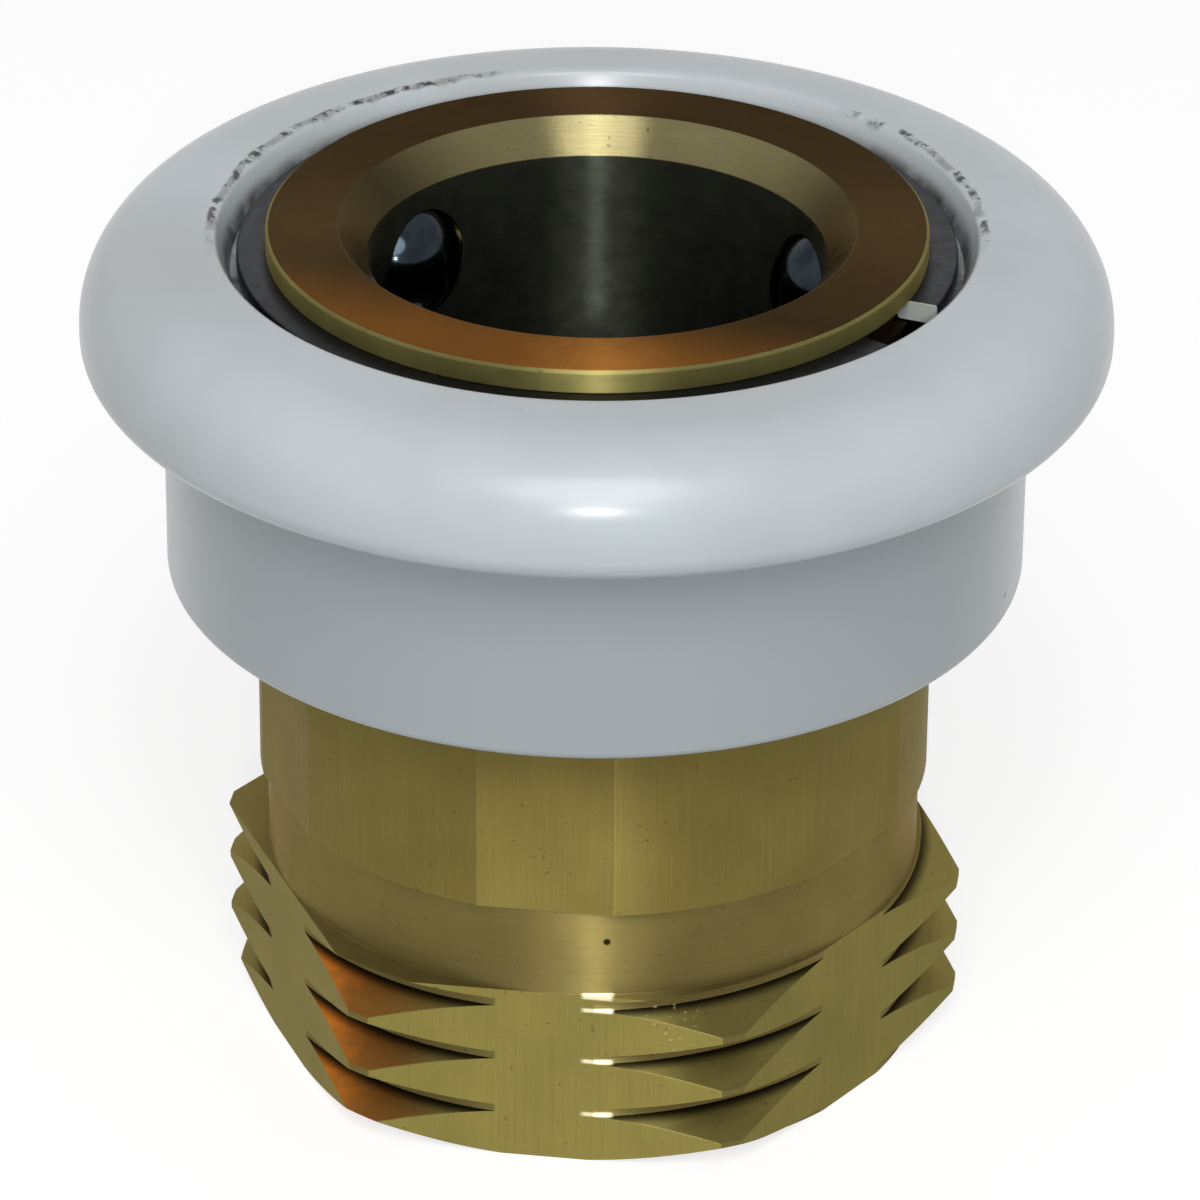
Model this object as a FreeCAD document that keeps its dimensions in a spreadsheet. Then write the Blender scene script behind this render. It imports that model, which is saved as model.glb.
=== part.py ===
# Garden hose quick connector: the snap socket with a male hose thread on its other end.
# Millimetres. The axis of the fitting is Z, and Z = 0 is the sealing face of the hose end.
import FreeCAD, Part
import math
import os
import Sketcher

# Driving sizes. A height is measured up from the hose end's face, a depth down from the mouth.
SIZES = {
    # hexagonal bar and its turned outside
    "bar_allowance": 0.24,
    "body_height": 31.3,
    "end_chamfer": 0.95,
    "end_chamfer_width": 1.49,
    "band_cut": 0.03,
    "band_width": 3.38,
    "neck_stand_out": 0.25,
    "spring_seat_depth": 12.7,
    "relief_cut": 0.36,
    "relief_depth": 7.3,
    "edge_break": 0.12,
    # hose thread, 11.5 turns to the inch, cut on the corners of the bar only
    "thread_length": 6.83,
    "thread_pitch": 2.209,
    "thread_root_lift": 0.13,
    "thread_depth": 1.46,
    "thread_root_half_flat": 0.138,
    "thread_flank_angle": 30,
    "thread_start": 1.928,
    # socket bore and waterway
    "plug_stop_depth": 15.3,
    "plug_stop_width": 1.08,
    "waterway_chamfer": 0.6,
    "bore_radius": 8.08,
    "lead_in_width": 1.04,
    "lead_in_depth": 1.15,
    "seal_groove_cut": 1.92,
    "seal_groove_depth": 12.4,
    "seal_groove_width": 2.6,
    "seal_section_radius": 1.2,
    "seal_gap": 0.02,
    # locking balls, three sixteenths of an inch, and their holes
    "ball_count": 3,
    "ball_radius": 2.38,
    "ball_depth": 4.15,
    "ball_hole_gap": 0.04,
    "ball_lip_depth": 0.03,
    "ball_cone_depth": 0.54,
    "ball_seat_gap": 0.02,
    "ball_seat_offset": 1.08,
    "ball_cover": 0.07,
    # retaining ring and its groove
    "ring_groove_cut": 0.46,
    "ring_groove_depth": 1.6,
    "ring_thickness": 0.7,
    "ring_slack": 0.05,
    "ring_play": 0.02,
    "ring_gap": 0.05,
    "ring_stand_out": 1.02,
    "ring_opening": 16,
    "ring_opening_angle": -18,
    # release collar
    "rim_drop": 0.1,
    "rim_edge": 0.4,
    "funnel_width": 0.67,
    "funnel_depth": 1.25,
    "recess_gap": 0.27,
    "flange_drop": 0.2,
    "flange_thickness": 5.07,
    "flange_overhang": 2.9,
    "flange_flat": 0.07,
    "flange_root": 0.35,
    "skirt_length": 7.68,
    "skirt_gap": 0.6,
    "skirt_wall": 2.6,
    "skirt_edge": 0.35,
    "stop_gap": 0.02,
    "ramp_width": 0.71,
    "land_clearance": 0.1,
    "land_lead": 0.15,
    "land_drop": 0.95,
    # return spring
    "wire_radius": 0.33,
    "spring_inner_gap": 0.06,
    "spring_end_gap": 0.02,
    "spring_turns": 4,
}

# Radii and heights that follow from them, each written as a sum of size names.
LIP_SEAT = "bore_radius + ball_lip_depth"
BALL_CENTRE = LIP_SEAT + " + ball_seat_gap + ball_seat_offset"
BALL_HEIGHT = "body_height - ball_depth"
BALL_HOLE_RADIUS = "ball_radius + ball_hole_gap"

HEAD_RADIUS = BALL_CENTRE + " + ball_radius + ball_cover"
BAR_APOTHEM = HEAD_RADIUS + " + bar_allowance"
THREAD_ROOT_RADIUS = BAR_APOTHEM + " + thread_root_lift"
THREAD_MAJOR_RADIUS = THREAD_ROOT_RADIUS + " + thread_depth"
END_RADIUS = THREAD_MAJOR_RADIUS + " - end_chamfer_width"
BAND_RADIUS = BAR_APOTHEM + " - band_cut"
BAND_TOP = "thread_length + band_width"
NECK_RADIUS = BAR_APOTHEM + " + neck_stand_out"
SPRING_SEAT = "body_height - spring_seat_depth"
RELIEF_RADIUS = HEAD_RADIUS + " - relief_cut"
RELIEF_TOP = "body_height - relief_depth"

PLUG_STOP = "body_height - plug_stop_depth"
WATERWAY_RADIUS = "bore_radius - plug_stop_width"
LEAD_IN_RADIUS = "bore_radius + lead_in_width"
LEAD_IN_BOTTOM = "body_height - lead_in_depth"
SEAL_GROOVE_RADIUS = "bore_radius + seal_groove_cut"
SEAL_GROOVE_BOTTOM = "body_height - seal_groove_depth"
SEAL_GROOVE_TOP = SEAL_GROOVE_BOTTOM + " + seal_groove_width"

RING_GROOVE_RADIUS = HEAD_RADIUS + " - ring_groove_cut"
RING_GROOVE_BOTTOM = "body_height - ring_groove_depth"
RING_INNER_RADIUS = RING_GROOVE_RADIUS + " + ring_gap"
RING_OUTER_RADIUS = HEAD_RADIUS + " + ring_stand_out"
RING_BOTTOM = RING_GROOVE_BOTTOM + " + ring_slack"
RING_TOP = RING_BOTTOM + " + ring_thickness"
RING_GROOVE_TOP = RING_TOP + " + ring_play"

RECESS_RADIUS = RING_OUTER_RADIUS + " + recess_gap"
RIM_RADIUS = RECESS_RADIUS + " + funnel_width"
RIM_HEIGHT = "body_height - rim_drop"
FUNNEL_BOTTOM = RIM_HEIGHT + " - funnel_depth"
STOP_HEIGHT = RING_BOTTOM + " - stop_gap"
LAND_RADIUS = HEAD_RADIUS + " + land_clearance"
LAND_TOP = BALL_HEIGHT + " + land_lead"
LAND_BOTTOM = BALL_HEIGHT + " - land_drop"
RAMP_TOP_RADIUS = LAND_RADIUS + " + ramp_width"
SKIRT_BORE_RADIUS = NECK_RADIUS + " + skirt_gap"
SKIRT_RADIUS = SKIRT_BORE_RADIUS + " + skirt_wall"
FLANGE_RADIUS = SKIRT_RADIUS + " + flange_overhang"
FLANGE_TOP = RIM_HEIGHT + " - flange_drop"
FLANGE_UNDERSIDE = FLANGE_TOP + " - flange_thickness"
COLLAR_BOTTOM = FLANGE_UNDERSIDE + " - skirt_length"

COIL_RADIUS = HEAD_RADIUS + " + spring_inner_gap + wire_radius"
COIL_BOTTOM = SPRING_SEAT + " + spring_end_gap + wire_radius"
COIL_TOP = LAND_BOTTOM + " - spring_end_gap - wire_radius"

# A cutting profile runs past the ends of the bar, and out past its corners.
ABOVE_BAR = "body_height + end_chamfer"
BELOW_BAR = "- end_chamfer"
PAST_CORNERS = THREAD_MAJOR_RADIUS + " + end_chamfer"

# A corner of a profile that lies on the sketch's own axis has this for its measure.
ON_AXIS = ""

HEX_SIDES = 6
FULL_TURN = 360
HALF_TURN = 180
QUARTER_TURN = 90
SAME_PLACE = 0.001
LEAST_CUT = 0.01

doc = FreeCAD.newDocument("hose_quick_connector")

sheet = doc.addObject("Spreadsheet::Sheet", "Sizes")
for row, (word, size) in enumerate(SIZES.items(), start=1):
    sheet.set("A%d" % row, word)
    sheet.set("B%d" % row, str(size))
    sheet.setAlias("B%d" % row, word)
doc.recompute()


def bound(text):
    """Turns a sum of size names into an expression that reads the sheet."""
    return " ".join(word if word in "+-" else "Sizes." + word for word in text.split())


def length(text):
    """Adds up a sum of size names such as 'body_height - lead_in_depth'."""
    total = 0.0
    sign = 1
    for word in text.split():
        if word in "+-":
            sign = -1 if word == "-" else 1
        else:
            total += sign * SIZES[word]
            sign = 1
    return total


def opposite(text):
    """The same sum of size names with every sign turned round."""
    swapped = {"+": "-", "-": "+"}
    return "- " + " ".join(swapped.get(word, word) for word in text.split())


def origin_part(body, role):
    """One of a body's own origin planes or axes."""
    return next(part for part in body.Origin.OriginFeatures if part.Role == role)


def new_body(name):
    body = doc.addObject("PartDesign::Body", name)
    body.Label = name
    return body


def measure(text):
    """The value and the expression of a sum of size names."""
    return length(text), bound(text)


def pin(sketch, edge, end, across, up):
    """Holds one end of a sketch edge at two measures from the origin."""
    for kind, place, axis in (("DistanceX", across, -2), ("DistanceY", up, -1)):
        if place == ON_AXIS:
            sketch.addConstraint(Sketcher.Constraint("PointOnObject", edge, end, axis))
            continue
        value, expression = place if isinstance(place, tuple) else measure(place)
        if value < 0:
            rule = Sketcher.Constraint(kind, edge, end, -1, 1, -value)
            expression = "-(%s)" % expression
        else:
            rule = Sketcher.Constraint(kind, -1, 1, edge, end, value)
        sketch.setExpression("Constraints[%d]" % sketch.addConstraint(rule), expression)


def closed_sketch(body, name, plane, corners):
    """A closed outline of straight edges, each corner pinned to sums of sizes."""
    sketch = body.newObject("Sketcher::SketchObject", name)
    sketch.AttachmentSupport = (origin_part(body, plane), [""])
    sketch.MapMode = "FlatFace"
    places = [[place if isinstance(place, tuple) else measure(place) for place in corner]
              for corner in corners]
    points = [FreeCAD.Vector(across[0], up[0], 0) for across, up in places]
    count = len(points)
    for index in range(count):
        sketch.addGeometry(Part.LineSegment(points[index], points[(index + 1) % count]))
    for index in range(count):
        sketch.addConstraint(Sketcher.Constraint("Coincident", index, 2, (index + 1) % count, 1))
    for index, (across, up) in enumerate(corners):
        pin(sketch, index, 1, across, up)
    return sketch


def turned_cut(body, name, corners):
    """Removes what a profile sweeps as it turns once round the axis."""
    sketch = closed_sketch(body, name + "_profile", "XZ_Plane", corners)
    groove = body.newObject("PartDesign::Groove", name)
    groove.Profile = sketch
    groove.ReferenceAxis = (sketch, ["V_Axis"])
    groove.Angle = FULL_TURN
    return groove


def round_edges(body, name, places, radius):
    """Rounds the circular edges found at the stated radii and heights."""
    doc.recompute()
    before = body.Tip
    names = []
    for number, edge in enumerate(body.Shape.Edges, start=1):
        if not isinstance(edge.Curve, Part.Circle):
            continue
        for across, up in places:
            same_radius = abs(edge.Curve.Radius - length(across)) < SAME_PLACE
            if same_radius and abs(edge.Curve.Center.z - length(up)) < SAME_PLACE:
                names.append("Edge%d" % number)
    fillet = body.newObject("PartDesign::Fillet", name)
    fillet.Base = (before, names)
    fillet.setExpression("Radius", radius)
    return fillet


def make_brass_body():
    body = new_body("brass_body")

    # the length of hexagonal bar, with a flat facing the front
    bar_sketch = body.newObject("Sketcher::SketchObject", "bar_section")
    bar_sketch.AttachmentSupport = (origin_part(body, "XY_Plane"), [""])
    bar_sketch.MapMode = "FlatFace"
    reach = length(BAR_APOTHEM) / math.cos(math.pi / HEX_SIDES)
    corners = []
    for index in range(HEX_SIDES + 1):
        turn = index * math.tau / HEX_SIDES
        corners.append(FreeCAD.Vector(reach * math.cos(turn), reach * math.sin(turn), 0))
    for start, end in zip(corners, corners[1:]):
        bar_sketch.addGeometry(Part.LineSegment(start, end))
    inscribed = Part.Circle(FreeCAD.Vector(), FreeCAD.Vector(0, 0, 1), length(BAR_APOTHEM))
    circle = bar_sketch.addGeometry(inscribed, True)
    bar_sketch.addConstraint(Sketcher.Constraint("Coincident", circle, 3, -1, 1))
    for index in range(HEX_SIDES):
        following = (index + 1) % HEX_SIDES
        bar_sketch.addConstraint(Sketcher.Constraint("Coincident", index, 2, following, 1))
        bar_sketch.addConstraint(Sketcher.Constraint("Tangent", index, circle))
    for index in range(1, HEX_SIDES):
        bar_sketch.addConstraint(Sketcher.Constraint("Equal", index - 1, index))
    bar_sketch.addConstraint(Sketcher.Constraint("Horizontal", 1))
    apothem = Sketcher.Constraint("Radius", circle, length(BAR_APOTHEM))
    bar_sketch.setExpression("Constraints[%d]" % bar_sketch.addConstraint(apothem), bound(BAR_APOTHEM))

    bar = body.newObject("PartDesign::Pad", "bar")
    bar.Profile = bar_sketch
    bar.setExpression("Length", "Sizes.body_height")

    # the outside, turned from the hose end up to the mouth
    turned_cut(body, "outside", [
        (END_RADIUS, ON_AXIS),
        (THREAD_MAJOR_RADIUS, "end_chamfer"),
        (THREAD_MAJOR_RADIUS, "thread_length"),
        (BAND_RADIUS, "thread_length"),
        (BAND_RADIUS, BAND_TOP),
        (NECK_RADIUS, BAND_TOP),
        (NECK_RADIUS, SPRING_SEAT),
        (RELIEF_RADIUS, SPRING_SEAT),
        (RELIEF_RADIUS, RELIEF_TOP),
        (HEAD_RADIUS, RELIEF_TOP + " + relief_cut"),
        (HEAD_RADIUS, RING_GROOVE_BOTTOM),
        (RING_GROOVE_RADIUS, RING_GROOVE_BOTTOM),
        (RING_GROOVE_RADIUS, RING_GROOVE_TOP),
        (HEAD_RADIUS, RING_GROOVE_TOP),
        (HEAD_RADIUS, "body_height - edge_break"),
        (HEAD_RADIUS + " - edge_break", "body_height"),
        (HEAD_RADIUS + " - edge_break", ABOVE_BAR),
        (PAST_CORNERS, ABOVE_BAR),
        (PAST_CORNERS, BELOW_BAR),
        (END_RADIUS, BELOW_BAR),
    ])

    # the inside: waterway, plug stop, seal groove, socket bore and lead-in
    turned_cut(body, "inside", [
        (ON_AXIS, BELOW_BAR),
        (WATERWAY_RADIUS + " + waterway_chamfer", BELOW_BAR),
        (WATERWAY_RADIUS + " + waterway_chamfer", ON_AXIS),
        (WATERWAY_RADIUS, "waterway_chamfer"),
        (WATERWAY_RADIUS, PLUG_STOP),
        ("bore_radius", PLUG_STOP),
        ("bore_radius", SEAL_GROOVE_BOTTOM),
        (SEAL_GROOVE_RADIUS, SEAL_GROOVE_BOTTOM),
        (SEAL_GROOVE_RADIUS, SEAL_GROOVE_TOP),
        ("bore_radius", SEAL_GROOVE_TOP),
        ("bore_radius", LEAD_IN_BOTTOM),
        (LEAD_IN_RADIUS, "body_height"),
        (LEAD_IN_RADIUS, ABOVE_BAR),
        (ON_AXIS, ABOVE_BAR),
    ])

    # one ball hole on the front flat, drilled from outside down to a lip at the bore
    lip = math.sqrt(SIZES["ball_radius"] ** 2 - SIZES["ball_seat_offset"] ** 2)
    lip_edge = (length(BALL_HEIGHT) + lip, "%s + sqrt(%s)" % (
        bound(BALL_HEIGHT), "Sizes.ball_radius ^ 2 - Sizes.ball_seat_offset ^ 2"))
    hole_mouth = opposite(HEAD_RADIUS + " + ball_hole_gap")
    hole_sketch = closed_sketch(body, "ball_hole_profile", "YZ_Plane", [
        (ON_AXIS, BALL_HEIGHT),
        (ON_AXIS, lip_edge),
        (opposite(LIP_SEAT), lip_edge),
        (opposite(LIP_SEAT + " + ball_cone_depth"), BALL_HEIGHT + " + " + BALL_HOLE_RADIUS),
        (hole_mouth, BALL_HEIGHT + " + " + BALL_HOLE_RADIUS),
        (hole_mouth, BALL_HEIGHT),
    ])
    axis_line = hole_sketch.addGeometry(
        Part.LineSegment(FreeCAD.Vector(length(hole_mouth), length(BALL_HEIGHT), 0),
                         FreeCAD.Vector(0, length(BALL_HEIGHT), 0)), True)
    pin(hole_sketch, axis_line, 1, hole_mouth, BALL_HEIGHT)
    pin(hole_sketch, axis_line, 2, ON_AXIS, BALL_HEIGHT)
    hole = body.newObject("PartDesign::Groove", "ball_hole")
    hole.Profile = hole_sketch
    hole.ReferenceAxis = (hole_sketch, ["Axis0"])
    hole.Angle = FULL_TURN

    # the same hole on every second flat
    holes = body.newObject("PartDesign::PolarPattern", "ball_holes")
    holes.Originals = [hole]
    holes.Axis = (origin_part(body, "Z_Axis"), [""])
    holes.Angle = FULL_TURN
    holes.setExpression("Occurrences", "Sizes.ball_count")
    body.Tip = holes
    doc.recompute()

    # the hose thread: a 60 degree groove that bites only the corners of the bar
    slope = math.tan(math.radians(SIZES["thread_flank_angle"]))
    rise = length(PAST_CORNERS) - length(THREAD_ROOT_RADIUS)
    half = SIZES["thread_root_half_flat"] + slope * rise
    half_bound = "(%s + tan(Sizes.thread_flank_angle * 1 deg) * (%s - (%s)))" % (
        "Sizes.thread_root_half_flat", bound(PAST_CORNERS), bound(THREAD_ROOT_RADIUS))
    start = SIZES["thread_start"]
    tooth = closed_sketch(body, "thread_groove_section", "XZ_Plane", [
        (THREAD_ROOT_RADIUS, "- thread_start - thread_root_half_flat"),
        (THREAD_ROOT_RADIUS, "- thread_start + thread_root_half_flat"),
        (PAST_CORNERS, (half - start, half_bound + " - Sizes.thread_start")),
        (PAST_CORNERS, (-half - start, "-" + half_bound + " - Sizes.thread_start")),
    ])
    thread = body.newObject("PartDesign::SubtractiveHelix", "hose_thread")
    thread.Profile = tooth
    thread.ReferenceAxis = (tooth, ["V_Axis"])
    thread.Mode = "pitch-height-angle"
    thread.setExpression("Pitch", "Sizes.thread_pitch")
    thread.setExpression("Height", "Sizes.thread_start + Sizes.thread_length + " + half_bound)
    return body


def make_release_collar():
    body = new_body("release_collar")
    sketch = closed_sketch(body, "collar_profile", "XZ_Plane", [
        (SKIRT_BORE_RADIUS, COLLAR_BOTTOM),
        (SKIRT_RADIUS, COLLAR_BOTTOM),
        (SKIRT_RADIUS, FLANGE_UNDERSIDE),
        (FLANGE_RADIUS, FLANGE_UNDERSIDE),
        (FLANGE_RADIUS, FLANGE_TOP),
        (RIM_RADIUS, RIM_HEIGHT),
        (RECESS_RADIUS, FUNNEL_BOTTOM),
        (RECESS_RADIUS, STOP_HEIGHT),
        (RAMP_TOP_RADIUS, STOP_HEIGHT),
        (LAND_RADIUS, LAND_TOP),
        (LAND_RADIUS, LAND_BOTTOM),
        (SKIRT_BORE_RADIUS, LAND_BOTTOM),
    ])
    turned = body.newObject("PartDesign::Revolution", "turned_collar")
    turned.Profile = sketch
    turned.ReferenceAxis = (sketch, ["V_Axis"])
    turned.Angle = FULL_TURN

    # the finger flange, its root, its rim and the skirt's end are all rounded
    round_edges(body, "flange_bullnose", [
        (FLANGE_RADIUS, FLANGE_UNDERSIDE),
        (FLANGE_RADIUS, FLANGE_TOP),
    ], "(Sizes.flange_thickness - Sizes.flange_flat) / 2")
    round_edges(body, "flange_root_round", [(SKIRT_RADIUS, FLANGE_UNDERSIDE)],
                "Sizes.flange_root")
    round_edges(body, "rim_round", [(RIM_RADIUS, RIM_HEIGHT)], "Sizes.rim_edge")
    round_edges(body, "skirt_end_round", [
        (SKIRT_RADIUS, COLLAR_BOTTOM),
        (SKIRT_BORE_RADIUS, COLLAR_BOTTOM),
    ], "Sizes.skirt_edge")
    return body


def make_retaining_ring():
    body = new_body("retaining_ring")
    sketch = closed_sketch(body, "ring_section", "XZ_Plane", [
        (RING_INNER_RADIUS, RING_BOTTOM),
        (RING_OUTER_RADIUS, RING_BOTTOM),
        (RING_OUTER_RADIUS, RING_TOP),
        (RING_INNER_RADIUS, RING_TOP),
    ])
    ring = body.newObject("PartDesign::Revolution", "split_ring")
    ring.Profile = sketch
    ring.ReferenceAxis = (sketch, ["V_Axis"])
    ring.Midplane = True
    ring.setExpression("Angle", "%d - Sizes.ring_opening" % FULL_TURN)
    # the opening starts out on -X and turns to its place
    body.setExpression("Placement.Rotation.Angle", "%d + Sizes.ring_opening_angle" % HALF_TURN)
    return body


def make_locking_ball(index):
    """One ball, held between the lip at the bore and the land of the collar."""
    name = "locking_ball_%d" % (index + 1)
    ball = doc.addObject("Part::Sphere", name)
    ball.Label = name
    ball.setExpression("Radius", "Sizes.ball_radius")
    turn = "(%d / Sizes.ball_count - %d) * 1 deg" % (index * FULL_TURN, QUARTER_TURN)
    ball.setExpression("Placement.Base.x", "(%s) * cos(%s)" % (bound(BALL_CENTRE), turn))
    ball.setExpression("Placement.Base.y", "(%s) * sin(%s)" % (bound(BALL_CENTRE), turn))
    ball.setExpression("Placement.Base.z", bound(BALL_HEIGHT))
    return ball


def make_bore_seal():
    seal = doc.addObject("Part::Torus", "bore_seal")
    seal.Label = "bore_seal"
    seal.setExpression("Radius1", bound(SEAL_GROOVE_RADIUS + " - seal_gap - seal_section_radius"))
    seal.setExpression("Radius2", "Sizes.seal_section_radius")
    seal.setExpression("Placement.Base.z",
                       bound(SEAL_GROOVE_BOTTOM) + " + Sizes.seal_groove_width / 2")
    return seal


def make_return_spring():
    """An open coil of round wire between the seat on the body and the collar's land."""
    height = "(%s - (%s))" % (bound(COIL_TOP), bound(COIL_BOTTOM))

    path = doc.addObject("Part::Helix", "coil_path")
    path.setExpression("Radius", bound(COIL_RADIUS))
    path.setExpression("Height", height)
    path.setExpression("Pitch", height + " / Sizes.spring_turns")
    path.setExpression("Placement.Base.z", bound(COIL_BOTTOM))

    wire = doc.addObject("Part::Circle", "wire_section")
    wire.setExpression("Radius", "Sizes.wire_radius")
    upright = FreeCAD.Rotation(FreeCAD.Vector(1, 0, 0), QUARTER_TURN)
    wire.Placement = FreeCAD.Placement(FreeCAD.Vector(), upright)
    wire.setExpression("Placement.Base.x", bound(COIL_RADIUS))
    wire.setExpression("Placement.Base.z", bound(COIL_BOTTOM))

    spring = doc.addObject("Part::Sweep", "return_spring")
    spring.Label = "return_spring"
    spring.Sections = [wire]
    spring.Spine = (path, [])
    spring.Solid = True
    spring.Frenet = True
    return spring


def check_document():
    """Stops if an object failed to build."""
    for thing in doc.Objects:
        for fault in ("Invalid", "Error"):
            if fault in thing.State:
                raise RuntimeError("%s is %s" % (thing.Name, fault))


def check_cuts():
    """Stops if a cutting feature left the stock before it as it was."""
    for thing in doc.Objects:
        if thing.TypeId not in ("PartDesign::Groove", "PartDesign::SubtractiveHelix"):
            continue
        removed = thing.BaseFeature.Shape.Volume - thing.Shape.Volume
        print("%-16s %9.2f mm3 cut away" % (thing.Label, removed))
        if removed < LEAST_CUT:
            raise RuntimeError("%s cuts nothing" % thing.Label)


def main():
    pieces = [
        make_brass_body(),
        make_release_collar(),
        make_retaining_ring(),
        make_bore_seal(),
        make_return_spring(),
    ]
    pieces += [make_locking_ball(index) for index in range(SIZES["ball_count"])]
    doc.recompute()
    check_document()
    check_cuts()

    for piece in pieces:
        shape = piece.Shape
        if shape.isNull() or not shape.isValid() or not shape.Solids:
            raise RuntimeError("%s has no valid solid" % piece.Label)
        print("%-16s %9.2f mm3, %d solid" % (piece.Label, shape.Volume, len(shape.Solids)))

    os.makedirs("parts", exist_ok=True)
    for piece in pieces:
        piece.Shape.exportStep(os.path.join("parts", piece.Label + ".step"))


main()
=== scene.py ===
import math

import bpy
from mathutils import Matrix, Vector


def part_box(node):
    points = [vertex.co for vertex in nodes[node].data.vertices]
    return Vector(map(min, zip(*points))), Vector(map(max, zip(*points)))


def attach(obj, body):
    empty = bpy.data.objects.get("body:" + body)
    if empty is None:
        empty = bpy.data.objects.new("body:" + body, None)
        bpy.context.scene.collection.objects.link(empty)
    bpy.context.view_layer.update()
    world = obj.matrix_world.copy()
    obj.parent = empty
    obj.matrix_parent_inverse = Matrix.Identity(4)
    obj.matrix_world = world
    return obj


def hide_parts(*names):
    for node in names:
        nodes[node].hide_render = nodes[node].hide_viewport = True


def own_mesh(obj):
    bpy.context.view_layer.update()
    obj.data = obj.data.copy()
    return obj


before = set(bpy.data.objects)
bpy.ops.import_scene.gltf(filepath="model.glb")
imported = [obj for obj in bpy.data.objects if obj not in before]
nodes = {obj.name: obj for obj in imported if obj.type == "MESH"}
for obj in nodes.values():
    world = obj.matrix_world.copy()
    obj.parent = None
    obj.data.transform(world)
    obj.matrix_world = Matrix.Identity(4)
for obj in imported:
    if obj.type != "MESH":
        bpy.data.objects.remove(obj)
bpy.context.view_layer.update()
mm = 0.001
print("frame loaded:", ", ".join(sorted(nodes)))


def boxOf(node):
    # outer radius, lowest and highest point of a turned node, in mm
    low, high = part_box(node)
    return high[0] / mm, low[2] / mm, high[2] / mm


collarRadius, collarBottom, collarTop = boxOf("release_collar")
ringRadius, ringBottom, ringTop = boxOf("retaining_ring")
springRadius, springBottom, springTop = boxOf("return_spring")
brassRadius, brassBottom, brassTop = boxOf("brass_body")


# Modelling helpers

def nothingSelected():
    if bpy.context.object and bpy.context.object.mode != "OBJECT":
        bpy.ops.object.mode_set(mode="OBJECT")
    bpy.ops.object.select_all(action="DESELECT")


def finished(piece, name, smoothAngle=35):
    # place goes into the mesh, doubles merge, faces point outwards, shading is smooth
    if piece.mode != "EDIT":
        bpy.ops.object.mode_set(mode="EDIT")
    bpy.ops.mesh.select_all(action="SELECT")
    bpy.ops.mesh.remove_doubles(threshold=0.0005 * mm)
    bpy.ops.mesh.normals_make_consistent(inside=False)
    bpy.ops.object.mode_set(mode="OBJECT")
    bpy.ops.object.transform_apply(location=True, rotation=True, scale=True)
    bpy.ops.object.shade_smooth_by_angle(angle=math.radians(smoothAngle))
    piece.name = name
    piece.data.name = name
    return piece


def roundedOutline(corners, pointsPerRound=10):
    # corners are (radius, height, rounding); a rounding becomes an arc of points
    points = []
    for index, (radius, height, rounding) in enumerate(corners):
        here = Vector((radius, height))
        toBefore = (Vector(corners[index - 1][:2]) - here).normalized()
        toAfter = (Vector(corners[(index + 1) % len(corners)][:2]) - here).normalized()
        halfAngle = toBefore.angle(toAfter) / 2
        middle = here + (toBefore + toAfter).normalized() * (rounding / math.sin(halfAngle))
        first = here + toBefore * (rounding / math.tan(halfAngle)) - middle
        last = here + toAfter * (rounding / math.tan(halfAngle)) - middle
        sweep = math.atan2(first.cross(last), first.dot(last))
        count = max(2, round(pointsPerRound * rounding)) if rounding < 1 else 2 * pointsPerRound
        for step in range(count + 1):
            turned = Matrix.Rotation(sweep * step / count, 2) @ first
            points.append(middle + turned)
    return points


def turnedPiece(name, corners, steps=192):
    # a ring of points is drawn out along the outline and closed on itself, as on a lathe
    points = roundedOutline(corners)
    points.append(points[0])
    nothingSelected()
    bpy.ops.mesh.primitive_circle_add(vertices=steps, radius=points[0].x * mm,
                                      location=(0, 0, points[0].y * mm))
    piece = bpy.context.object
    bpy.ops.object.mode_set(mode="EDIT")
    for before, after in zip(points, points[1:]):
        bpy.ops.mesh.extrude_edges_move(
            TRANSFORM_OT_translate={"value": (0, 0, (after.y - before.y) * mm)})
        widening = after.x / before.x
        bpy.ops.transform.resize(value=(widening, widening, 1), center_override=(0, 0, after.y * mm))
    return finished(piece, name)


# Material helpers: each returns the socket that carries its result

def colour(red, green, blue):
    # a screen colour, 0 to 255, as the shader wants it
    channels = [c / 255 for c in (red, green, blue)]
    return tuple(c / 12.92 if c <= 0.04045 else ((c + 0.055) / 1.055) ** 2.4 for c in channels) + (1,)


def plug(tree, socket, value):
    if isinstance(value, bpy.types.NodeSocket):
        tree.links.new(value, socket)
    else:
        socket.default_value = value


def calc(tree, operation, first, second=0.0, third=0.0):
    node = tree.nodes.new("ShaderNodeMath")
    node.operation = operation
    for socket, value in zip(node.inputs, (first, second, third)):
        plug(tree, socket, value)
    return node.outputs[0]


def soften(tree, value, low, high, start=0.0, end=1.0):
    # start below low, end above high, smooth between
    node = tree.nodes.new("ShaderNodeMapRange")
    node.interpolation_type = "SMOOTHSTEP"
    for name, setting in (("Value", value), ("From Min", low), ("From Max", high),
                          ("To Min", start), ("To Max", end)):
        plug(tree, node.inputs[name], setting)
    return node.outputs["Result"]


def above(tree, value, limit, edge=0.02):
    return soften(tree, value, limit - edge, limit + edge)


def below(tree, value, limit, edge=0.02):
    return soften(tree, value, limit - edge, limit + edge, 1.0, 0.0)


def both(tree, first, second):
    return calc(tree, "MULTIPLY", first, second)


def between(tree, value, low, high, edge=0.02):
    return both(tree, above(tree, value, low, edge), below(tree, value, high, edge))


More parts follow.
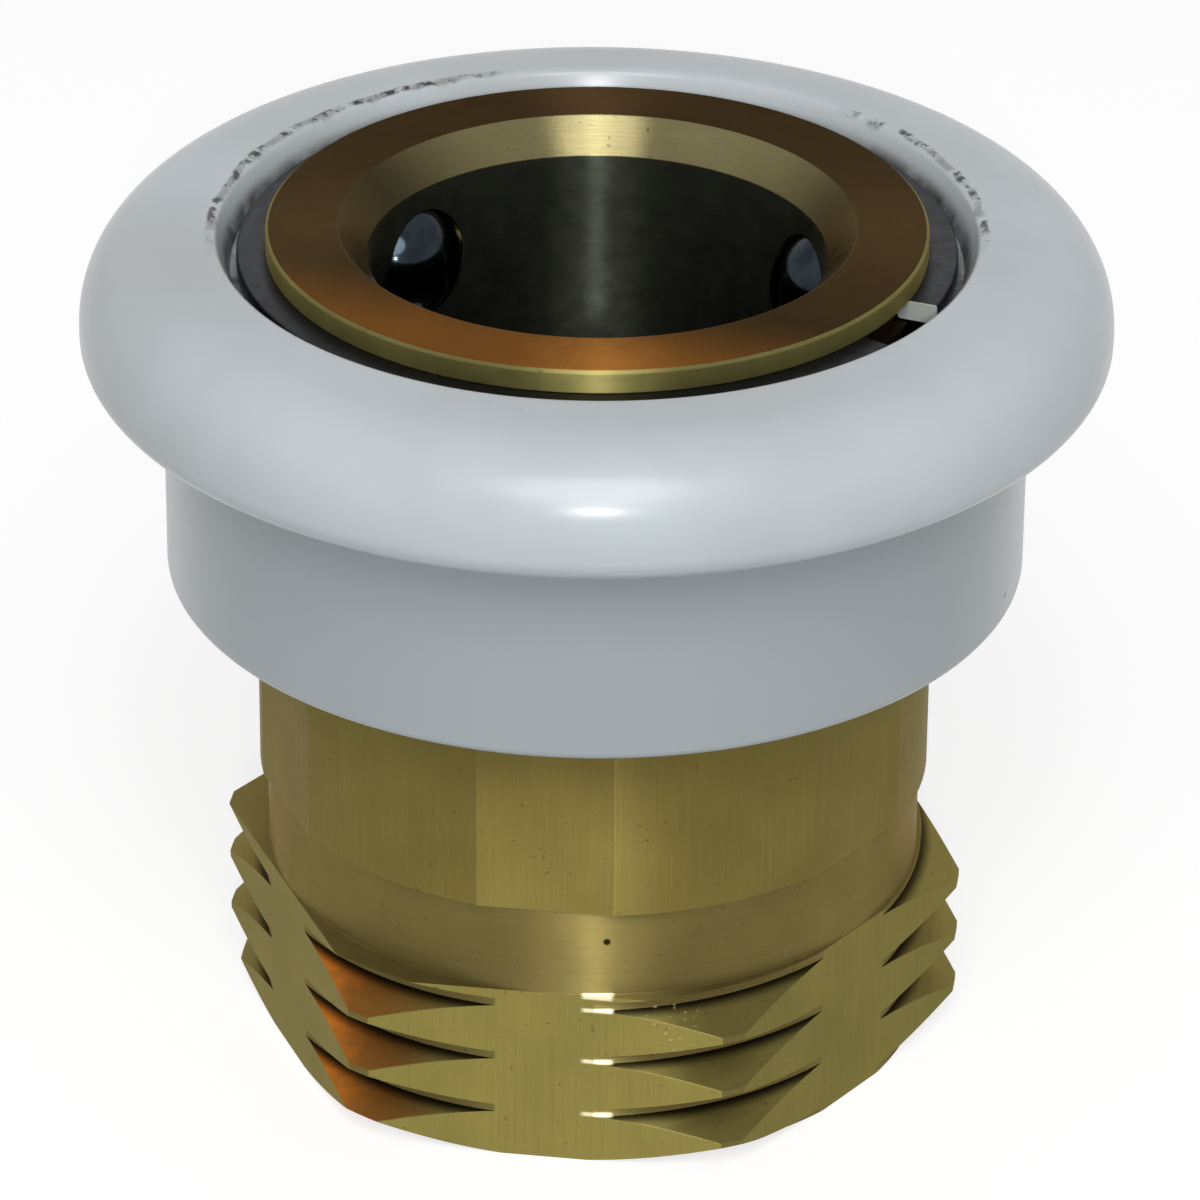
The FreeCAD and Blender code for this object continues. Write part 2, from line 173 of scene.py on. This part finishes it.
def spotAt(tree, place, centre, reach):
    # 1 at a point of the piece, fading out at the reach from it, both in mm
    node = tree.nodes.new("ShaderNodeVectorMath")
    node.operation = "DISTANCE"
    plug(tree, node.inputs[0], place["point"])
    node.inputs[1].default_value = centre
    return soften(tree, node.outputs["Value"], reach * 0.6, reach, 1.0, 0.0)


def mix(tree, share, first, second, blend="MIX"):
    node = tree.nodes.new("ShaderNodeMix")
    node.data_type = "RGBA"
    node.blend_type = blend
    plug(tree, node.inputs["Factor"], share)
    plug(tree, node.inputs["A"], first)
    plug(tree, node.inputs["B"], second)
    return node.outputs["Result"]


def noise(tree, vector, scale, detail=4.0, roughness=0.55, distortion=0.0):
    node = tree.nodes.new("ShaderNodeTexNoise")
    plug(tree, node.inputs["Vector"], vector)
    plug(tree, node.inputs["Scale"], scale)
    plug(tree, node.inputs["Detail"], detail)
    plug(tree, node.inputs["Roughness"], roughness)
    plug(tree, node.inputs["Distortion"], distortion)
    return node.outputs["Fac"]


def combine(tree, x, y, z):
    node = tree.nodes.new("ShaderNodeCombineXYZ")
    for socket, value in zip(node.inputs, (x, y, z)):
        plug(tree, socket, value)
    return node.outputs[0]


def bump(tree, height, distance, strength=1.0, normal=None):
    node = tree.nodes.new("ShaderNodeBump")
    plug(tree, node.inputs["Height"], height)
    node.inputs["Distance"].default_value = distance * mm
    node.inputs["Strength"].default_value = strength
    if normal:
        plug(tree, node.inputs["Normal"], normal)
    return node.outputs[0]


def roundedEdges(tree, radius):
    node = tree.nodes.new("ShaderNodeBevel")
    node.samples = 6
    node.inputs["Radius"].default_value = radius * mm
    return node.outputs[0]


def newMaterial(name, **settings):
    # the tree, its shader, and the place on the piece in mm: x, y, z, radius, angle
    material = bpy.data.materials.new(name)
    material.use_nodes = True
    tree = material.node_tree
    shader = tree.nodes["Principled BSDF"]
    for socket, value in settings.items():
        shader.inputs[socket.replace("_", " ")].default_value = value
    coordinates = tree.nodes.new("ShaderNodeTexCoord")
    inMm = tree.nodes.new("ShaderNodeVectorMath")
    inMm.operation = "SCALE"
    inMm.inputs["Scale"].default_value = 1 / mm
    tree.links.new(coordinates.outputs["Object"], inMm.inputs[0])
    split = tree.nodes.new("ShaderNodeSeparateXYZ")
    tree.links.new(inMm.outputs[0], split.inputs[0])
    x, y, z = split.outputs
    radius = calc(tree, "SQRT", calc(tree, "MULTIPLY_ADD", x, x, calc(tree, "MULTIPLY", y, y)))
    angle = calc(tree, "ARCTAN2", y, x)
    place = {"point": inMm.outputs[0], "x": x, "y": y, "z": z, "radius": radius, "angle": angle}
    return material, tree, shader, place


def dress(piece, material):
    if not piece.material_slots:
        piece.data.materials.append(material)
    for slot in piece.material_slots:
        slot.material = material


# White collar: lengths in mm, heights measured down from its top

collar = {
    "crownDrop": 0.45, "flangeThickness": 4.25, "flangeOverhang": 2.9,
    "crownRound": 3.2, "edgeRound": 1.0, "rootRound": 0.35,
    "skirtWall": 2.6, "skirtRound": 0.35,
    "rimRadius": 13.45, "rimRound": 0.35, "recessRadius": 12.95, "funnelDepth": 1.25,
    "rampTop": 12.47, "landRadius": 11.76, "landTop": 3.9, "landBottom": 5.0, "innerRound": 0.08,
}


def makeCollar():
    crown = collarTop - collar["crownDrop"]
    underside = crown - collar["flangeThickness"]
    skirtRadius = collarRadius - collar["flangeOverhang"]
    boreRadius = skirtRadius - collar["skirtWall"]
    shoulder = ringBottom - 0.02
    landTop, landBottom = collarTop - collar["landTop"], collarTop - collar["landBottom"]
    small = collar["innerRound"]
    piece = turnedPiece("whiteCollar", [
        (boreRadius, collarBottom, collar["skirtRound"]),
        (skirtRadius, collarBottom, collar["skirtRound"]),
        (skirtRadius, underside, collar["rootRound"]),
        (collarRadius, underside, collar["edgeRound"]),
        (collarRadius, crown, collar["crownRound"]),
        (collar["rimRadius"], collarTop, collar["rimRound"]),
        (collar["recessRadius"], collarTop - collar["funnelDepth"], small),
        (collar["recessRadius"], shoulder, small),
        (collar["rampTop"], shoulder, small),
        (collar["landRadius"], landTop, small),
        (collar["landRadius"], landBottom, small),
        (boreRadius, landBottom, small),
    ])
    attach(piece, "collar")
    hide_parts("release_collar")
    return piece


# Split ring: its two ends stand apart by the opening, in degrees round the axis

ring = {"innerRadius": 11.25, "edgeRound": 0.1, "opening": 16, "openingAngle": -22, "steps": 172,
        "steel": colour(34, 36, 41), "cutEnd": colour(196, 204, 196), "grime": colour(24, 24, 24)}


def makeRing():
    # a flat section with broken corners is spun clockwise from one end to the other
    width = ringRadius - ring["innerRadius"]
    height = ringTop - ringBottom
    start = math.radians(ring["openingAngle"] - ring["opening"] / 2)
    middle = (ring["innerRadius"] + width / 2) * mm
    nothingSelected()
    bpy.ops.mesh.primitive_plane_add(size=mm, rotation=(math.pi / 2, 0, start), location=(
        middle * math.cos(start), middle * math.sin(start), (ringBottom + height / 2) * mm))
    piece = bpy.context.object
    piece.scale = (width, height, 1)
    bpy.ops.object.transform_apply(location=True, rotation=True, scale=True)
    bpy.ops.object.mode_set(mode="EDIT")
    bpy.ops.mesh.select_all(action="SELECT")
    bpy.ops.mesh.bevel(offset=ring["edgeRound"] * mm, segments=3, affect="VERTICES")
    bpy.ops.mesh.select_all(action="SELECT")
    bpy.ops.mesh.spin(steps=ring["steps"], angle=math.radians(360 - ring["opening"]),
                      center=(0, 0, 0), axis=(0, 0, 1))
    finished(piece, "splitRing")
    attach(piece, "body")
    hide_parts("retaining_ring")
    return piece


def ringFinish():
    # dark spring steel, bright where it was cut through, with grime in the pits
    material, tree, shader, place = newMaterial("ringSteel", Metallic=0.85, Roughness=0.42)
    cut = math.radians(ring["openingAngle"] + ring["opening"] / 2)
    atCut = between(tree, place["angle"], cut - 0.004, cut + 0.004, 0.002)
    pits = noise(tree, place["point"], 1.8, 5.0, 0.6)
    base = mix(tree, soften(tree, pits, 0.4, 0.7), ring["steel"], ring["grime"])
    plug(tree, shader.inputs["Base Color"], mix(tree, atCut, base, ring["cutEnd"]))
    plug(tree, shader.inputs["Metallic"], calc(tree, "MULTIPLY_ADD", atCut, -0.55, 0.85))
    plug(tree, shader.inputs["Roughness"], calc(tree, "MULTIPLY_ADD", pits, 0.2, 0.32))
    plug(tree, shader.inputs["Normal"], bump(tree, noise(tree, place["point"], 8.0, 3.0, 0.6), 0.004, 0.4))
    return material


# Coil spring: keep is the share of its height left when the collar is pulled right back

spring = {"wireRadius": 0.33, "wireSides": 12, "turns": 4, "closedTurns": 0.6,
          "stepsPerTurn": 48, "keep": 0.415}


def makeSpring():
    # a disc of wire is drawn round in small steps; the end turns lie closed
    wire = spring["wireRadius"]
    low, high = springBottom + wire, springTop - wire
    closed = spring["closedTurns"]
    closedPitch = 2 * wire + 0.02
    openPitch = (high - low - 2 * closed * closedPitch) / (spring["turns"] - 2 * closed)
    nothingSelected()
    bpy.ops.mesh.primitive_circle_add(vertices=spring["wireSides"], radius=wire * mm, fill_type="NGON",
                                      rotation=(math.pi / 2, 0, 0),
                                      location=((springRadius - wire) * mm, 0, low * mm))
    piece = bpy.context.object
    bpy.ops.object.transform_apply(location=True, rotation=True, scale=True)
    bpy.ops.object.mode_set(mode="EDIT")
    bpy.ops.mesh.select_all(action="SELECT")
    stepTurn = -2 * math.pi / spring["stepsPerTurn"]    # rotate turns the other way with no window
    for step in range(spring["turns"] * spring["stepsPerTurn"]):
        done = (step + 0.5) / spring["stepsPerTurn"]
        atEnd = done < closed or done > spring["turns"] - closed
        rise = (closedPitch if atEnd else openPitch) / spring["stepsPerTurn"]
        bpy.ops.mesh.extrude_region_move(TRANSFORM_OT_translate={"value": (0, 0, rise * mm)})
        bpy.ops.transform.rotate(value=stepTurn, orient_axis="Z", center_override=(0, 0, 0))
    finished(piece, "coilSpring")
    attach(piece, "body")
    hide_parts("return_spring")
    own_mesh(piece)
    return piece


# Brass: screen colours, and the mm that part one surface of the body from the next

brass = {
    "flat": colour(140, 130, 66), "neck": colour(134, 121, 61), "turned": colour(124, 112, 66),
    # the face's front colour is a painted sheen, lighter orange towards the front
    "headSide": colour(128, 122, 74), "face": colour(56, 42, 25), "faceFrontSheen": colour(118, 76, 33),
    # the lead-in's two colours are its painted sheen at the back and its darker sides
    "leadIn": colour(122, 115, 82), "leadInSide": colour(56, 50, 34),
    # the flanks' orange and the brown on the next line are a painted reflection
    "bore": colour(66, 69, 60), "flank": colour(130, 120, 68), "orangeReflection": colour(206, 122, 42),
    # the dark colour is grime in specks and the pit, and painted shade in the thread roots and inside the
    # collar
    "brownReflection": colour(146, 100, 46), "darkGrimeAndShade": colour(34, 28, 16), "nick": colour(176, 166, 112),
    # the next colour is a painted highlight, for the glints where the thread runs out of the front flat
    "glint": colour(240, 232, 190),
    "blotches": ((0.72, 0.72, 0.74, 1), (1.22, 1.2, 1.14, 1)),
    "lines": ((0.82, 0.82, 0.82, 1), (1.16, 1.16, 1.16, 1)), "lineDepth": 0.012, "edgeRound": 0.07,
    "roughness": 0.42, "drawnRoughness": 0.5, "drawnMetal": 0.6, "boreShine": -0.1, "leadInShine": -0.18,
    "apothem": 11.9, "boreRadius": 8.12, "leadInRadius": 9.14, "leadInDepth": 1.17, "leadInSheenFade": (2.5, 9.0),
    "headRadius": 11.5, "sideDepth": 0.95, "threadLength": 6.8, "threadRoot": 12.03, "flankTilt": 0.35,
    "neckHeights": (10.25, 18.5), "neckInner": 11.5, "gapInner": 10.95,
    "frontSheenLean": 0.15, "frontSheenFade": (-5.5, -10.5), "grazingTint": (0.8, 0.7, 0.58, 1),
    "pit": (2.17, -11.67, 9.0), "pitRadius": 0.16, "nicksAt": (4.6, -11.7, 5.9), "nicksRadius": 1.2,
    # where the flanks' painted orange reflection lies and fades to brown
    "orangeEnds": (-9.6, -6.4, -3.2), "orangeFront": -7.5, "reflectionFade": (-7.2, -5.0),
    # where the painted glints lie on the front flat
    "glintEnds": (1.35, 2.4), "glintFront": -11.0, "glintHalf": 0.08, "glintHeights": (6.8, 6.26, 4.14, 1.93),
}


def brassRegions(tree, place):
    # masks from 0 to 1: which surface of the body a point lies on
    y, z, radius = place["y"], place["z"], place["radius"]

    # of the distances to the bar's three pairs of flats, the largest reaches the apothem on a flat
    slanted = [calc(tree, "ABSOLUTE", calc(tree, "MULTIPLY_ADD", place["x"], side * math.sqrt(3) / 2,
                                           calc(tree, "MULTIPLY", y, 0.5)))
               for side in (1, -1)]
    hexDistance = calc(tree, "MAXIMUM", calc(tree, "MAXIMUM", *slanted), calc(tree, "ABSOLUTE", y))

    geometry = tree.nodes.new("ShaderNodeNewGeometry")
    normalParts = tree.nodes.new("ShaderNodeSeparateXYZ")
    tree.links.new(geometry.outputs["Normal"], normalParts.inputs[0])
    tilt = calc(tree, "ABSOLUTE", normalParts.outputs[2])
    inThread = both(tree, below(tree, z, brass["threadLength"]), above(tree, tilt, brass["flankTilt"], 0.05))
    onFlank = both(tree, inThread, above(tree, radius, brass["threadRoot"] - 0.1, 0.03))

    leadInBottom = brassTop - brass["leadInDepth"]
    headBottom = brassTop - brass["sideDepth"]
    return {
        "flat": soften(tree, hexDistance, brass["apothem"] - 0.008, brass["apothem"] - 0.004),
        "neck": both(tree, between(tree, z, *brass["neckHeights"]), above(tree, radius, brass["neckInner"])),
        # painted shade: the body inside the collar, from the neck up to the head, is painted dark
        "gapShade": both(tree, between(tree, z, brass["neckHeights"][1], headBottom),
                    above(tree, radius, brass["gapInner"], 0.05)),
        "headSide": both(tree, above(tree, z, headBottom, 0.1),
                         above(tree, radius, brass["headRadius"], 0.1)),
        "flank": onFlank,
        # painted shadow: the flanks near the thread's root, shaded by the crest above, are painted dark
        "rootShadow": both(tree, onFlank, below(tree, radius, brass["threadRoot"] + 0.26, 0.22)),
        "leadIn": both(tree, below(tree, radius, brass["leadInRadius"]), above(tree, z, leadInBottom)),
        "bore": both(tree, below(tree, radius, brass["boreRadius"]), below(tree, z, leadInBottom)),
        "face": both(tree, above(tree, z, brassTop - 0.02, 0.01),
                     above(tree, radius, brass["leadInRadius"] - 0.02, 0.01)),
    }


def brassLines(tree, place, asDrawn):
    # drawn lines run along the bar where it is as drawn, turned lines run round it elsewhere
    drawn = noise(tree, combine(tree, calc(tree, "MULTIPLY", place["angle"], 60.0),
                                calc(tree, "MULTIPLY", place["z"], 0.12), 0.0), 1.6, 5.0, 0.7)
    turned = noise(tree, combine(tree, calc(tree, "ADD", place["z"], place["radius"]),
                                 calc(tree, "MULTIPLY", place["angle"], 0.35), 0.0), 9.0, 4.0, 0.7)
    return mix(tree, asDrawn, turned, drawn)


def flankReflection(tree, place, grime):
    # painted reflection: the left corner's flanks are painted orange, and browner towards the right
    left, middle, right = brass["orangeEnds"]
    onCorner = both(tree, above(tree, place["x"], left, 0.4),
                    below(tree, place["y"], brass["orangeFront"], 0.4))
    reflecting = both(tree, onCorner, soften(tree, place["x"], middle, right, 1.0, 0.0))
    unevenLine = calc(tree, "MULTIPLY_ADD", grime, 3.0, place["x"])
    browner = soften(tree, unevenLine, *brass["reflectionFade"])
    return mix(tree, reflecting, brass["flank"], mix(tree, browner, brass["orangeReflection"], brass["brownReflection"]))


def threadGlints(tree, place):
    # painted highlights: bright glint dashes where the thread runs out of the front flat
    offGlint = 10.0    # further than any painted glint lies
    for height in brass["glintHeights"]:
        offHeight = calc(tree, "ABSOLUTE", calc(tree, "SUBTRACT", place["z"], height))
        offGlint = calc(tree, "MINIMUM", offGlint, offHeight)
    alongFlat = both(tree, between(tree, place["x"], *brass["glintEnds"], 0.12),
                     below(tree, place["y"], brass["glintFront"]))
    return both(tree, alongFlat, below(tree, offGlint, brass["glintHalf"], 0.04))


def brassColour(tree, place, on, lines, grime):
    # painted sheen: the turned face is painted lighter orange towards the front and darker brown at the
    # sides
    frontSheen = soften(tree, calc(tree, "MULTIPLY_ADD", place["x"], brass["frontSheenLean"], place["y"]),
                     *brass["frontSheenFade"])
    # painted sheen: the lead-in chamfer is painted brighter towards the back and darker at the sides
    backSheen = soften(tree, place["y"], *brass["leadInSheenFade"])
    # gap, root and the lead-in's sides carry painted shade, the face's front and the lead-in's back a
    # painted sheen, the flanks a painted reflection
    shades = {
        "flat": brass["flat"], "neck": brass["neck"], "gapShade": brass["darkGrimeAndShade"], "headSide": brass["headSide"],
        "flank": flankReflection(tree, place, grime), "rootShadow": brass["darkGrimeAndShade"],
        "leadIn": mix(tree, backSheen, brass["leadInSide"], brass["leadIn"]), "bore": brass["bore"],
        "face": mix(tree, frontSheen, brass["face"], brass["faceFrontSheen"]),
    }
    base = brass["turned"]
    for region, shade in shades.items():
        base = mix(tree, on[region], base, shade)

    blotches = noise(tree, place["point"], 0.35, 6.0, 0.6)
    specks = above(tree, noise(tree, place["point"], 4.5, 2.0, 0.5), 0.72, 0.02)
    nicks = both(tree, spotAt(tree, place, brass["nicksAt"], brass["nicksRadius"]),
                 above(tree, noise(tree, place["point"], 4.2, 3.0, 0.6), 0.64, 0.05))
    base = mix(tree, 1.0, base, mix(tree, blotches, *brass["blotches"]), "MULTIPLY")
    base = mix(tree, 1.0, base, mix(tree, lines, *brass["lines"]), "MULTIPLY")
    base = mix(tree, calc(tree, "MULTIPLY", specks, 0.4), base, brass["darkGrimeAndShade"])
    base = mix(tree, spotAt(tree, place, brass["pit"], brass["pitRadius"]), base, brass["darkGrimeAndShade"])
    base = mix(tree, nicks, base, brass["nick"])
    # painted highlight: the glint dashes at the thread's run-out go on last
    return mix(tree, threadGlints(tree, place), base, brass["glint"])


def brassFinish():
    material, tree, shader, place = newMaterial(
        "turnedBrass", Metallic=1.0, Roughness=brass["roughness"],
        Anisotropic=1.0, Anisotropic_Rotation=0.25, Specular_Tint=brass["grazingTint"])
    on = brassRegions(tree, place)
    asDrawn = calc(tree, "MAXIMUM", on["flat"], on["neck"])
    lines = brassLines(tree, place, asDrawn)
    grime = noise(tree, place["point"], 1.4, 6.0, 0.65)
    plug(tree, shader.inputs["Base Color"], brassColour(tree, place, on, lines, grime))

    smooth = calc(tree, "MULTIPLY_ADD", asDrawn, brass["drawnRoughness"] - brass["roughness"],
                  brass["roughness"] - 0.08)
    smooth = calc(tree, "MULTIPLY_ADD", on["bore"], brass["boreShine"], smooth)
    smooth = calc(tree, "MULTIPLY_ADD", on["leadIn"], brass["leadInShine"], smooth)
    plug(tree, shader.inputs["Roughness"], calc(tree, "MULTIPLY_ADD", grime, 0.16, smooth))
    plug(tree, shader.inputs["Metallic"], calc(tree, "MULTIPLY_ADD", asDrawn, brass["drawnMetal"] - 1, 1.0))
    plug(tree, shader.inputs["Normal"],
         bump(tree, lines, brass["lineDepth"], 0.4, roundedEdges(tree, brass["edgeRound"])))
    roundAxis = tree.nodes.new("ShaderNodeTangent")
    roundAxis.direction_type = "RADIAL"
    roundAxis.axis = "Z"
    plug(tree, shader.inputs["Tangent"], roundAxis.outputs[0])
    return material


# Acetal: the dirt lies in two stretches of the rim, given by their angles from the far side

acetal = {
    # the skirt colour is painted shade below the flange
    "white": colour(204, 213, 218), "shade": colour(192, 197, 200), "skirt": colour(178, 187, 191),
    # the recess colour is painted shade inside the rim
    "smear": colour(132, 134, 134), "dirt": colour(30, 29, 32), "recessShade": colour(64, 62, 54),
    "roughness": 0.25, "skirtTop": 26.4, "rimLine": 13.6, "rimHeight": 30.7, "lineWidth": 0.14,
    "leftStretch": (-1.8, -0.45), "rightStretch": (0.64, 1.5), "strayRadii": (13.2, 14.6),
    "recessEdge": 13.12, "recessHeight": 29.0, "speck": (15.04, -3.06, 19.34), "speckRadius": 0.13,
}


def rimMarks(tree, place):
    # smears, crumbs of dirt and stray spots on the rim, each a mask from 0 to 1
    fromBack = calc(tree, "ARCTAN2", place["x"], place["y"])
    stretches = calc(tree, "ADD", between(tree, fromBack, *acetal["leftStretch"], 0.12),
                     between(tree, fromBack, *acetal["rightStretch"], 0.12))
    wander = calc(tree, "MULTIPLY_ADD", noise(tree, place["point"], 0.5, 2.0), 0.6, -0.3)
    wandered = calc(tree, "ADD", place["radius"], wander)
    offLine = calc(tree, "ABSOLUTE", calc(tree, "SUBTRACT", wandered, acetal["rimLine"]))
    onLine = both(tree, below(tree, offLine, acetal["lineWidth"], 0.07),
                  above(tree, place["z"], acetal["rimHeight"], 0.2))
    onRim = both(tree, onLine, stretches)
    smears = both(tree, onRim, above(tree, noise(tree, place["point"], 1.0, 5.0, 0.6), 0.47, 0.1))
    dirt = both(tree, onRim, above(tree, noise(tree, place["point"], 1.3, 6.0, 0.62), 0.55, 0.05))
    stray = both(tree, between(tree, place["radius"], *acetal["strayRadii"], 0.4),
                 above(tree, noise(tree, place["point"], 2.4, 4.0, 0.6), 0.73, 0.02))
    return smears, dirt, stray


# painted shade: the recess inside the rim is painted dark, unevenly
def paintedRecessShade(tree, place):
    inRecess = both(tree, below(tree, place["radius"], acetal["recessEdge"], 0.12),
                    above(tree, place["z"], acetal["recessHeight"], 0.1))
    uneven = soften(tree, noise(tree, place["point"], 0.7, 4.0), 0.3, 0.7, 0.45, 0.95)
    return both(tree, inRecess, uneven)


def acetalFinish():
    material, tree, shader, place = newMaterial(
        "whiteAcetal", Roughness=acetal["roughness"], IOR=1.48,
        Subsurface_Weight=0.5, Subsurface_Scale=1.5 * mm)
    shader.inputs["Subsurface Radius"].default_value = (1.0, 0.9, 0.85)
    cloudy = noise(tree, place["point"], 0.1, 3.0, 0.5)
    base = mix(tree, soften(tree, cloudy, 0.3, 0.75), acetal["white"], acetal["shade"])
    # painted shade: below the flange the skirt is painted greyer, as in the flange's shadow
    base = mix(tree, below(tree, place["z"], acetal["skirtTop"], 0.5), base, acetal["skirt"])
    base = mix(tree, paintedRecessShade(tree, place), base, acetal["recessShade"])
    smears, dirt, stray = rimMarks(tree, place)
    base = mix(tree, calc(tree, "MULTIPLY", smears, 0.75), base, acetal["smear"])
    base = mix(tree, dirt, base, acetal["dirt"])
    base = mix(tree, calc(tree, "MULTIPLY", stray, 0.6), base, acetal["smear"])
    base = mix(tree, spotAt(tree, place, acetal["speck"], acetal["speckRadius"]), base, acetal["dirt"])
    plug(tree, shader.inputs["Base Color"], base)
    plug(tree, shader.inputs["Normal"], bump(tree, noise(tree, place["point"], 3.0, 4.0, 0.6), 0.01, 0.15))
    return material


def steelFinish(name, shade, roughness, lineScale):
    material, tree, shader, place = newMaterial(name, Metallic=1.0, Roughness=roughness)
    worn = noise(tree, place["point"], 1.2, 5.0, 0.6)
    fine = noise(tree, place["point"], lineScale, 3.0, 0.6)
    darker = tuple(c * 0.55 for c in shade[:3]) + (1,)
    plug(tree, shader.inputs["Base Color"], mix(tree, soften(tree, worn, 0.3, 0.7), shade, darker))
    plug(tree, shader.inputs["Roughness"], calc(tree, "MULTIPLY_ADD", worn, 0.12, roughness - 0.05))
    plug(tree, shader.inputs["Normal"], bump(tree, fine, 0.003, 0.3))
    return material


def rubberFinish():
    material, tree, shader, place = newMaterial("sealRubber", Roughness=0.62, IOR=1.52)
    grain = noise(tree, place["point"], 6.0, 4.0, 0.7)
    plug(tree, shader.inputs["Base Color"], mix(tree, grain, colour(22, 22, 22), colour(46, 45, 43)))
    plug(tree, shader.inputs["Normal"], bump(tree, grain, 0.02, 0.5))
    return material


# Floor, light and camera: angles in degrees from the front towards +X and up, lengths in mm

floorLook = {"size": 6, "shade": colour(170, 170, 170), "glow": 0.72}
ambient = 0.22
lamps = {
    "keyLamp": {"azimuth": 7.5, "elevation": 48, "distance": 700, "size": 420, "power": 2.5},
    "frontLamp": {"azimuth": 8.5, "elevation": 25, "distance": 700, "size": 45, "power": 1.15},
}
camera = {"target": (0, 0, 15), "distance": 260, "azimuth": 8.0, "elevation": 28.646,
          "lens": 215.6, "roll": 0.437, "shiftX": 0.0047, "shiftY": 0.0252}


def seenByEye(tree):
    # 1 for camera, glossy and transmission rays, 0 for the rays that light the object
    path = tree.nodes.new("ShaderNodeLightPath")
    total = calc(tree, "ADD", path.outputs["Is Camera Ray"], path.outputs["Is Glossy Ray"])
    return calc(tree, "MINIMUM", calc(tree, "ADD", total, path.outputs["Is Transmission Ray"]), 1.0)


def makeFloor():
    nothingSelected()
    bpy.ops.mesh.primitive_grid_add(size=floorLook["size"], x_subdivisions=8, y_subdivisions=8,
                                    location=(0, 0, 0))
    floor = bpy.context.object
    floor.name = "paleFloor"
    material = bpy.data.materials.new("paleFloor")
    material.use_nodes = True
    tree = material.node_tree
    shader = tree.nodes["Principled BSDF"]
    shader.inputs["Base Color"].default_value = floorLook["shade"]
    shader.inputs["Roughness"].default_value = 0.9
    shader.inputs["Emission Color"].default_value = (1, 1, 1, 1)
    seen = seenByEye(tree)
    plug(tree, shader.inputs["Emission Strength"], calc(tree, "MULTIPLY", seen, floorLook["glow"]))
    dress(floor, material)


def makeWorld():
    world = bpy.data.worlds.new("studio")
    bpy.context.scene.world = world
    world.use_nodes = True
    tree = world.node_tree
    background = tree.nodes["Background"]
    background.inputs["Color"].default_value = (1, 1, 1, 1)
    strength = calc(tree, "MULTIPLY_ADD", seenByEye(tree), 1 - ambient, ambient)
    plug(tree, background.inputs["Strength"], strength)


def direction(azimuth, elevation):
    # from the object, azimuth turns from -Y towards +X
    a, e = math.radians(azimuth), math.radians(elevation)
    return Vector((math.sin(a) * math.cos(e), -math.cos(a) * math.cos(e), math.sin(e)))


def makeLamp(name, azimuth, elevation, distance, size, power):
    lamp = bpy.data.lights.new(name, "AREA")
    lamp.shape = "DISK"
    lamp.size = size * mm
    lamp.energy = power
    holder = bpy.data.objects.new(name, lamp)
    bpy.context.collection.objects.link(holder)
    away = direction(azimuth, elevation)
    holder.location = Vector(camera["target"]) * mm + away * distance * mm
    holder.rotation_euler = away.to_track_quat("Z", "Y").to_euler()


def makeCamera():
    lens = bpy.data.cameras.new("view")
    lens.lens = camera["lens"]
    lens.shift_x, lens.shift_y = camera["shiftX"], camera["shiftY"]
    lens.clip_start = 0.01
    eye = bpy.data.objects.new("view", lens)
    bpy.context.collection.objects.link(eye)
    away = direction(camera["azimuth"], camera["elevation"])
    eye.rotation_mode = "QUATERNION"
    level = away.to_track_quat("Z", "Y")
    eye.location = Vector(camera["target"]) * mm + away * camera["distance"] * mm
    eye.rotation_quaternion = level @ Matrix.Rotation(math.radians(camera["roll"]), 3, "Z").to_quaternion()
    bpy.context.scene.camera = eye


turnedBrass = brassFinish()
ballSteel = steelFinish("ballSteel", colour(48, 56, 63), 0.1, 5.0)
dress(nodes["brass_body"], turnedBrass)
for number in (1, 2, 3):
    dress(nodes["locking_ball_%d" % number], ballSteel)
dress(nodes["bore_seal"], rubberFinish())
print("carried-over nodes dressed")

dress(makeCollar(), acetalFinish())
print("collar done")
dress(makeRing(), ringFinish())
print("ring done")
dress(makeSpring(), steelFinish("springWire", colour(176, 176, 174), 0.28, 9.0))
print("spring done")

makeFloor()
makeWorld()
for name, setting in lamps.items():
    makeLamp(name, **setting)
makeCamera()
bpy.context.scene.view_settings.view_transform = "Standard"
print("floor, light and camera set")
